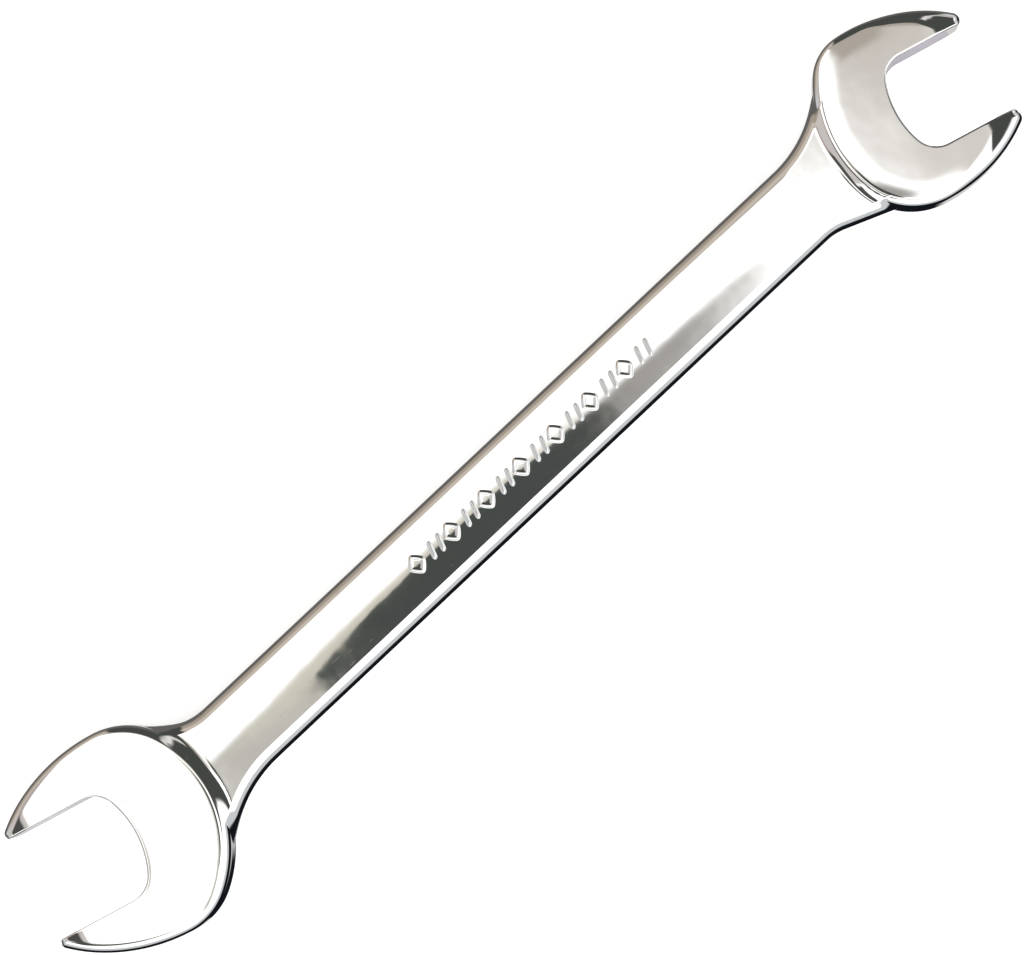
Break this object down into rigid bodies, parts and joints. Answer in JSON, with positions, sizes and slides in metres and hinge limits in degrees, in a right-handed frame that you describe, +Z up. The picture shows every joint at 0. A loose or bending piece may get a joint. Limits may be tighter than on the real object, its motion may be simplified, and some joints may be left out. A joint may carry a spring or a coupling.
{
  "type": "double open-ended wrench",
  "caption": "Flat forged hand wrench with an open jaw at each end, both angled to a slim rounded shank, mirror-polished and plated.",
  "frame": {"origin": "under the middle of the bounding box, on the plane that the wrench lies on", "axes": "+X along the shank towards the small head, +Y across the shank, +Z up out of the face with the raised marks"},
  "size_m": [0.218, 0.0376, 0.0076],
  "materials": {
    "polished_chrome": "mirror-polished chrome plate over forged steel, with fine handling scratches"
  },
  "bodies": {
    "root": {"shank": "polished_chrome", "large_head": "polished_chrome", "small_head": "polished_chrome", "raised_marks": "polished_chrome"}
  },
  "joints": []
}
